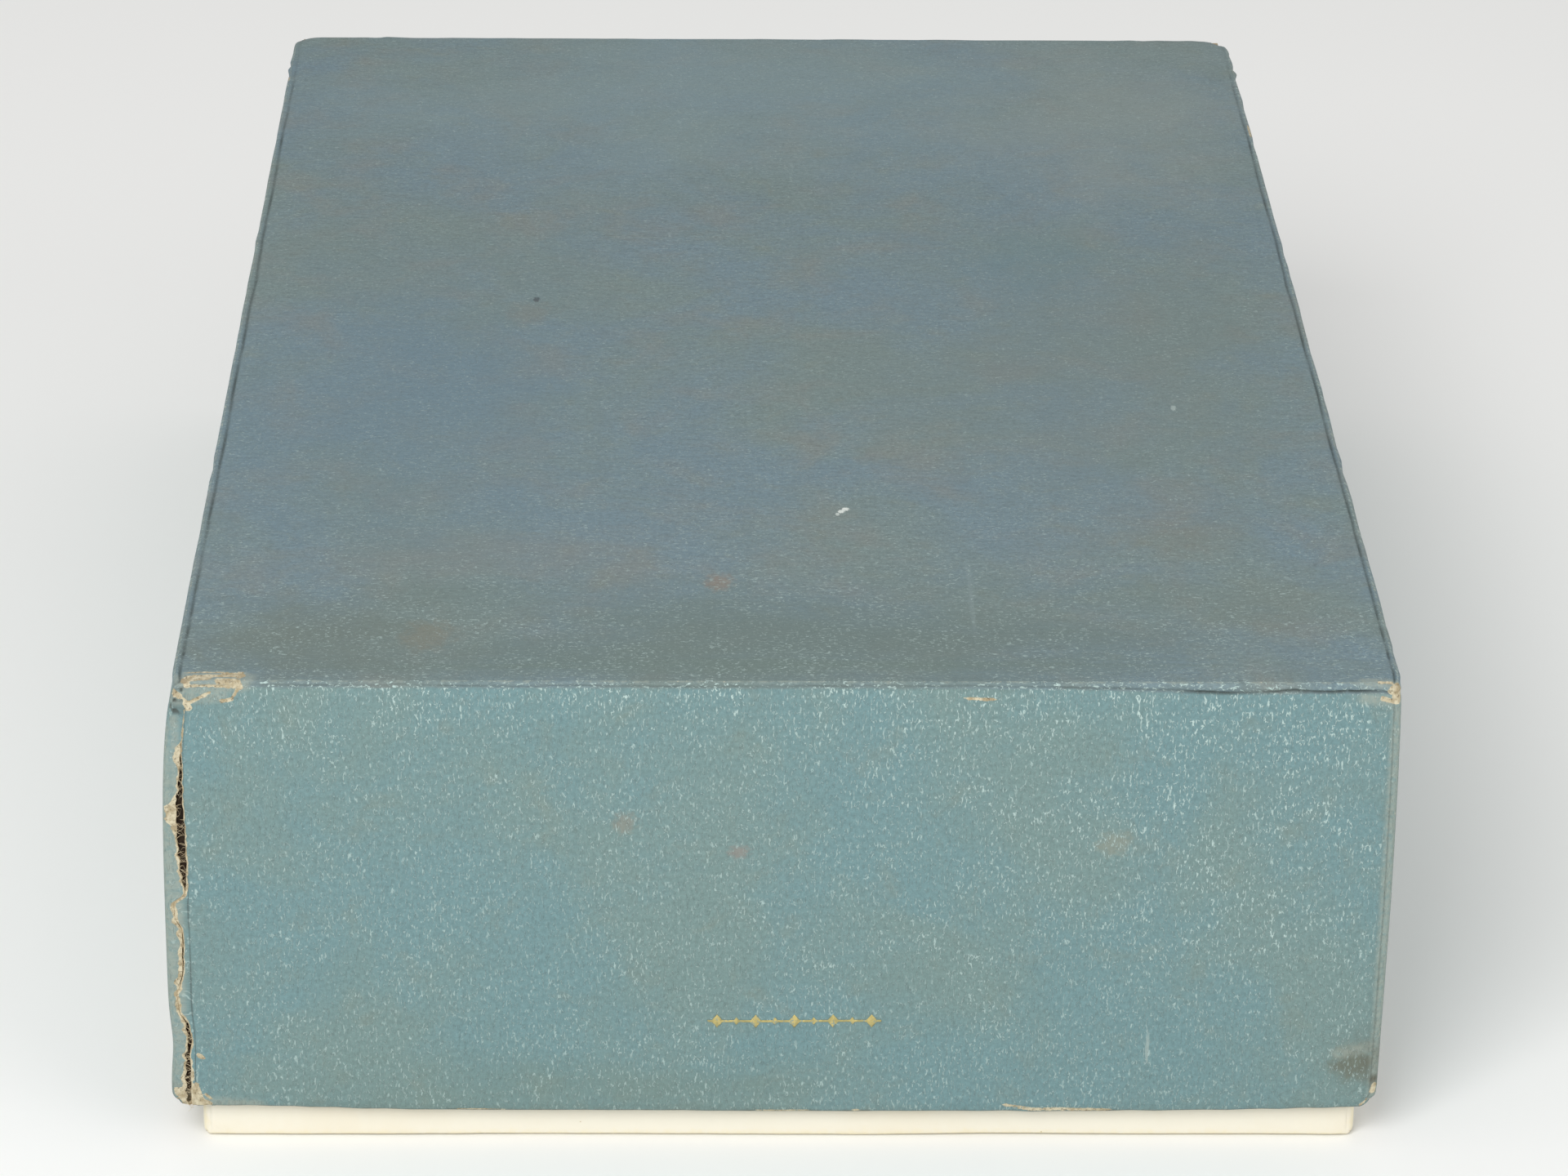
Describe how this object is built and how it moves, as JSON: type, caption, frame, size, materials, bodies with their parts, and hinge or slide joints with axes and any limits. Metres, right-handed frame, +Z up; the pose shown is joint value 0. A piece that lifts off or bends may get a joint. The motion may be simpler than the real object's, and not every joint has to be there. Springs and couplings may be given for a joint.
{
  "type": "storage box",
  "caption": "Flat telescoping storage box for papers: a cream paper-covered tray under a full-depth lift-off lid in blue-green grained paper, worn and split at a front corner.",
  "frame": {"origin": "on the ground under the middle of the closed box", "axes": "+X across the box towards its right side as seen from the front end, +Y along its length from the front end to the back end, +Z up"},
  "size_m": [0.2375, 0.3744, 0.1013],
  "materials": {
    "greyboard": "raw greyboard",
    "blue_green_paper": "embossed leather-grain covering paper, worn satin",
    "cream_paper": "smooth covering paper, slightly foxed",
    "lining_paper": "matt lining paper",
    "kraft_tape": "gummed kraft tape",
    "gold_foil": "hot-stamped foil, rubbed"
  },
  "bodies": {
    "tray": {"tray_base_board": "greyboard", "tray_left_board": "greyboard", "tray_right_board": "greyboard", "tray_front_board": "greyboard", "tray_back_board": "greyboard", "tray_corner_tape_front_left": "kraft_tape", "tray_corner_tape_back_left": "kraft_tape", "tray_corner_tape_front_right": "kraft_tape", "tray_corner_tape_back_right": "kraft_tape", "tray_cover_paper": "cream_paper", "tray_base_paper": "cream_paper", "tray_floor_lining": "lining_paper", "tray_wall_lining": "lining_paper"},
    "lid": {"lid_top_board": "greyboard", "lid_left_board": "greyboard", "lid_right_board": "greyboard", "lid_front_board": "greyboard", "lid_back_board": "greyboard", "lid_corner_tape_front_left": "kraft_tape", "lid_corner_tape_back_left": "kraft_tape", "lid_corner_tape_front_right": "kraft_tape", "lid_corner_tape_back_right": "kraft_tape", "lid_cover_paper": "blue_green_paper", "lid_top_lining": "lining_paper", "lid_wall_lining": "lining_paper", "lid_foil_ornament": "gold_foil"}
  },
  "joints": [
    {"name": "lid_lift", "type": "slide", "parent": "tray", "child": "lid", "axis": [0, 0, 1], "range_m": [0, 0.12]}
  ]
}
